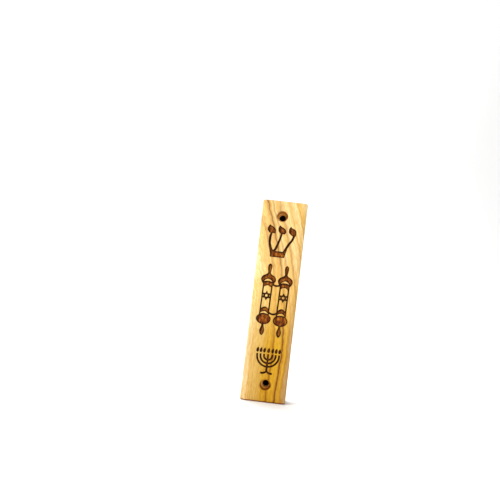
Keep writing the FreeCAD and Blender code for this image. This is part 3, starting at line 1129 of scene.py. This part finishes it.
@dataclass
class ParchmentRoll:
    """The parchment, one long sheet rolled up from its end, standing in the channel.

    The pitch between turns and the clearance at the outside are in thicknesses of the sheet.
    """

    node: CadNode = CadNode.PARCHMENT
    turns: float = 4.6
    thickness: float = 0.22 * MM
    pitch: float = 1.6
    clearance: float = 1.05
    sides: int = 72

    def tree(self, material: Material) -> NodeTree:
        """Makes the node tree that rolls a sheet.

        Args:
            material: The sheet's material.

        Returns:
            A geometry node tree.
        """
        inputs = size_inputs("Foot", "Inner Radius", "Outer Radius", "Turns", "Height", "Thickness")
        graph, given, result = new_group("Rolled sheet", "GeometryNodeTree", inputs, GEOMETRY)
        size = given.outputs
        spiral = graph.out("GeometryNodeCurveSpiral", {
            "Resolution": self.sides, "Rotations": size["Turns"], "Height": 0.0,
            "Start Radius": size["Inner Radius"], "End Radius": size["Outer Radius"]})
        edge = graph.out("GeometryNodeCurveToMesh", {"Curve": spiral})
        rise = graph.combine(0.0, 0.0, size["Height"])
        sheet = graph.out("GeometryNodeExtrudeMesh", {"Mesh": edge, "Offset": rise, "Offset Scale": 1.0},
                          mode="EDGES")
        thick = graph.out("GeometryNodeExtrudeMesh", {
            "Mesh": sheet, "Individual": False, "Offset Scale": size["Thickness"]}, mode="FACES")
        both = graph.add("GeometryNodeJoinGeometry", {0: thick})
        graph.feed(both.inputs[0], graph.out("GeometryNodeFlipFaces", {"Mesh": sheet}))
        merged = graph.out("GeometryNodeMergeByDistance", {
            "Geometry": both.outputs[0], "Distance": 0.001 * MM})
        return end_tree(graph, result, merged, size["Foot"], material)

    def dress(self) -> Object:
        """Rolls the sheet and puts it in the case.

        Returns:
            The roll, which replaces its CAD node.
        """
        low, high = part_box(self.node.value)
        outer = (high.x - low.x) / 2
        material = Parchment().make()
        values = {
            "Inner Radius": outer - self.turns * self.thickness * self.pitch,
            "Outer Radius": outer - self.thickness * self.clearance,
            "Turns": self.turns,
            "Height": high.z - low.z,
            "Thickness": self.thickness,
            "Foot": (0.0, (low.y + high.y) / 2, low.z),
        }
        mesh = grown("Rolled_parchment", self.tree(material), values)
        smooth_by_angle(mesh, 40.0)
        piece = add_object("Rolled_parchment", mesh, material)
        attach(piece, Body.CASE.value)
        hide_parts(self.node.value)
        return piece


@dataclass
class FilmWrap:
    """Clear film around the roll: a wavy tube whose ends are pleated over the roll's ends."""

    node: CadNode = CadNode.WRAP
    around: int = 120
    along: int = 64
    pleats: int = 11
    skin: float = 0.06 * MM
    tuck: float = 1.5 * MM
    slack: float = 0.07 * MM
    wrinkle: float = 0.05 * MM
    pleat_height: float = 0.18 * MM
    head: float = 0.6 * MM

    def radius(self, angle: float, part: float, outer: float) -> float:
        """The film's outer radius.

        Args:
            angle: The place around the roll, in radians.
            part: The place along it, from 0 to 1.
            outer: The largest radius.

        Returns:
            The radius there, with shallow wrinkles that drift around the roll.
        """
        drift = math.sin(part * 9.0) * 1.3
        ripple = math.sin(angle * 7 + drift) * 0.5 + math.sin(angle * 13 - drift * 2) * 0.3
        return outer - self.slack + self.wrinkle * ripple

    def profile(self, angle: float, low: Vector, high: Vector) -> list[tuple[float, float]]:
        """The film's outline at one place around the roll, from its bottom pleat up to its top one.

        Args:
            angle: The place around the roll, in radians.
            low: The CAD node's lowest corner.
            high: The CAD node's highest corner.

        Returns:
            Pairs of radius and height.
        """
        outer = (high.x - low.x) / 2
        fold = self.pleat_height * (1 + math.sin(angle * self.pleats)) / 2
        top = high.z - 0.05 * MM
        bottom = low.z + 0.03 * MM
        points = [(self.tuck, bottom + fold * 0.2)]
        for step in range(self.along + 1):
            part = step / self.along
            points.append((self.radius(angle, part, outer), bottom + (top - self.head - bottom) * part))
        return points + [(outer * 0.93, top - 0.2 * MM - fold * 0.5), (outer * 0.72, top - fold),
                         (self.tuck, top - 0.25 * MM - fold)]

    def build(self) -> Mesh:
        """Builds the mesh.

        Returns:
            The film, before it gets its thickness.
        """
        low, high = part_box(self.node.value)
        middle = (low.y + high.y) / 2
        work = bmesh.new()
        rings = []
        for turn in range(self.around):
            angle = 2 * math.pi * turn / self.around
            ring = [work.verts.new((r * math.cos(angle), middle + r * math.sin(angle), z))
                    for r, z in self.profile(angle, low, high)]
            rings.append(ring)
        for ring, following in zip(rings, rings[1:] + rings[:1]):
            for here, there in zip(range(len(ring) - 1), range(1, len(ring))):
                work.faces.new((ring[here], following[here], following[there], ring[there]))
        bmesh.ops.recalc_face_normals(work, faces=work.faces)
        return mesh_from("Film_wrap", work)

    def dress(self) -> Object:
        """Wraps the roll.

        Returns:
            The film, which replaces its CAD node.
        """
        mesh = self.build()
        smooth_by_angle(mesh, 60.0)
        piece = add_object("Film_wrap", mesh, ClearFilm().make())
        thicken = piece.modifiers.new("Film thickness", "SOLIDIFY")
        thicken.thickness = self.skin
        thicken.offset = -1.0
        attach(piece, Body.CASE.value)
        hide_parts(self.node.value)
        return piece


@dataclass
class TieBand:
    """The elastic band around the wrapped roll: a flat strip, rounded and a little uneven."""

    node: CadNode = CadNode.BAND
    thickness: float = 0.6 * MM
    edge_round: float = 0.22 * MM
    unevenness: float = 0.10 * MM
    sides: int = 128

    def tree(self, material: Material) -> NodeTree:
        """Makes the node tree that runs a strip around a circle.

        Args:
            material: The band's material.

        Returns:
            A geometry node tree.
        """
        inputs = size_inputs("Middle", "Radius", "Thickness", "Width", "Edge Round", "Unevenness")
        graph, given, result = new_group("Band around a roll", "GeometryNodeTree", inputs, GEOMETRY)
        size = given.outputs
        circle = graph.out("GeometryNodeCurvePrimitiveCircle", {
            "Resolution": self.sides, "Radius": size["Radius"]})
        section = graph.out("GeometryNodeCurvePrimitiveQuadrilateral", {
            "Width": size["Thickness"], "Height": size["Width"]})
        rounded = graph.out("GeometryNodeFilletCurve", {
            "Curve": section, "Radius": size["Edge Round"], "Count": 4}, mode="POLY")
        strip = graph.out("GeometryNodeCurveToMesh", {"Curve": circle, "Profile Curve": rounded})
        place = graph.out("GeometryNodeInputPosition")
        wander = graph.noise(graph.scaled(place, (1.0, 1.0, 0.0)), 420.0, 1.0)
        lift = graph.times(graph.minus(wander, 0.5), size["Unevenness"])
        uneven = graph.out("GeometryNodeSetPosition", {
            "Geometry": strip, "Offset": graph.combine(0.0, 0.0, lift)})
        return end_tree(graph, result, uneven, size["Middle"], material)

    def dress(self) -> Object:
        """Puts the band around the roll.

        Returns:
            The band, which replaces its CAD node.
        """
        low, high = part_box(self.node.value)
        material = BandRubber().make()
        values = {
            "Radius": (high.x - low.x) / 2 - self.thickness / 2,
            "Thickness": self.thickness,
            "Width": high.z - low.z - self.unevenness,
            "Edge Round": self.edge_round,
            "Unevenness": self.unevenness,
            "Middle": tuple((low + high) / 2),
        }
        mesh = grown("Elastic_band", self.tree(material), values)
        smooth_by_angle(mesh, 50.0)
        piece = add_object("Elastic_band", mesh, material)
        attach(piece, Body.CASE.value)
        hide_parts(self.node.value)
        return piece


# ---- Studio


@dataclass(frozen=True)
class StudioLight:
    """A square light, in metres and watts, that shines at a target."""

    name: str
    place: Vec3
    size: float
    power: float
    colour: Colour = (1.0, 1.0, 1.0)
    target: Vec3 = (0.0, -0.007, 0.0)


STUDIO_LIGHTS = (
    StudioLight("Key", (-0.52, -0.42, 0.50), 0.22, 4.6, (1.0, 0.98, 0.95)),
    StudioLight("Front fill", (0.20, -0.72, 0.02), 0.30, 1.9),
    StudioLight("Back fill", (-0.20, 0.42, 0.50), 0.40, 2.0),
    StudioLight("Backdrop", (-0.18, 0.25, 1.1), 0.70, 9.2, target=(-0.18, 0.62, 0.0)),
)


@dataclass
class Studio:
    """The pale floor and backdrop, the lights, the dark behind the screw holes, and the camera."""

    floor_size: float = 2.4
    sweep_start: float = 0.5
    sweep_radius: float = 0.35
    sweep_steps: int = 24
    wall_height: float = 1.6
    station: Vector = field(default_factory=lambda: Vector((6.5, -316.0, 0.0)) * MM)
    target: Vector = field(default_factory=lambda: Vector((-2.52, -14.0, 14.47)) * MM)
    roll: float = 6.75
    lens: float = 42.21
    shift: tuple[float, float] = (-0.045, 0.045)
    shade_radius: float = 1.74 * MM
    shade_depth: float = 0.9 * MM
    shade_sides: int = 48
    room_light: float = 0.30
    room_seen: float = 0.93

    def sweep(self) -> None:
        """Makes one pale sheet that curves up from floor to backdrop behind the case."""
        ground = CAD_BOX[0].z
        half = self.floor_size / 2
        outline = [(-half, ground)]
        for step in range(self.sweep_steps + 1):
            angle = math.pi / 2 * step / self.sweep_steps
            outline.append((self.sweep_start + self.sweep_radius * math.sin(angle),
                            ground + self.sweep_radius * (1 - math.cos(angle))))
        outline.append((self.sweep_start + self.sweep_radius, ground + self.wall_height))
        verts = [(side * half, y, z) for y, z in outline for side in (-1, 1)]
        faces = [(2 * i, 2 * i + 1, 2 * i + 3, 2 * i + 2) for i in range(len(outline) - 1)]
        mesh = bpy.data.meshes.new("Studio_sweep")
        mesh.from_pydata(verts, [], faces)
        smooth_by_angle(mesh, 60.0)
        piece = add_object("Studio_sweep", mesh, StudioPaper().make())

    def hole_shade(self, hole: Vector, index: int) -> None:
        """Puts a dark disc inside a screw hole, so that the empty hole reads dark as it does against a wall.

        Args:
            hole: A point on the hole's axis, in its wall.
            index: The hole's number, for the disc's name.
        """
        work = bmesh.new()
        middle = (hole.x, hole.y + self.shade_depth, hole.z)
        turn = Matrix.Translation(middle) @ Matrix.Rotation(math.pi / 2, 4, "X")
        bmesh.ops.create_circle(work, cap_ends=True, segments=self.shade_sides, radius=self.shade_radius,
                                matrix=turn)
        name = f"Hole_shade_{index}"
        piece = add_object(name, mesh_from(name, work), HoleShade().make())

    def light(self, lamp: StudioLight) -> None:
        """Hangs one of the square lights.

        Args:
            lamp: The light's place, size and power.
        """
        data = bpy.data.lights.new(lamp.name, "AREA")
        data.size = lamp.size
        data.energy = lamp.power
        data.color = lamp.colour
        holder = bpy.data.objects.new(lamp.name, data)
        holder.location = lamp.place
        aim = Vector(lamp.target) - Vector(lamp.place)
        holder.rotation_euler = aim.to_track_quat("-Z", "Y").to_euler()
        holder.visible_camera = False
        bpy.context.scene.collection.objects.link(holder)

    def lights(self) -> None:
        """Hangs every light and sets the room's own light."""
        for lamp in STUDIO_LIGHTS:
            self.light(lamp)
        world = bpy.data.worlds.new("Room light")
        world.use_nodes = True
        graph = Graph(world.node_tree)
        seen = graph.add("ShaderNodeLightPath").outputs["Is Camera Ray"]
        strength = graph.span(seen, 0.0, 1.0, self.room_light, self.room_seen, smooth=False)
        background = graph.add("ShaderNodeBackground", {"Color": (1.0, 1.0, 1.0), "Strength": strength})
        graph.add("ShaderNodeOutputWorld", {"Surface": background.outputs[0]})
        bpy.context.scene.world = world
        bpy.context.scene.view_settings.view_transform = "Standard"

    def camera(self) -> None:
        """Stands the camera in front of the case, rolled so that the case leans to the right."""
        data = bpy.data.cameras.new("Front camera")
        data.lens = self.lens
        data.shift_x, data.shift_y = self.shift
        data.clip_start = 10 * MM
        camera = bpy.data.objects.new("Front camera", data)
        look = (self.target - self.station).to_track_quat("-Z", "Y").to_matrix().to_4x4()
        roll = Matrix.Rotation(math.radians(self.roll), 4, "Z")
        camera.matrix_world = Matrix.Translation(self.station) @ look @ roll
        bpy.context.scene.collection.objects.link(camera)
        bpy.context.scene.camera = camera

    def build(self) -> None:
        """Sets the whole studio up."""
        self.sweep()
        for index, hole in enumerate(screw_holes(), start=1):
            self.hole_shade(hole, index)
        self.lights()
        self.camera()


def main() -> None:
    """Builds every piece in order and reports it."""
    logging.basicConfig(level=logging.INFO, format="%(message)s")
    grain = make_grain_group(GrainShape())
    pieces = [
        EngravedBlock().dress(grain),
        SlidingCover().dress(grain),
        ParchmentRoll().dress(),
        FilmWrap().dress(),
        TieBand().dress(),
    ]
    for piece in pieces:
        log.info("%s: %d faces", piece.name, len(piece.data.polygons))
    Studio().build()


if __name__ == "__main__":
    main()
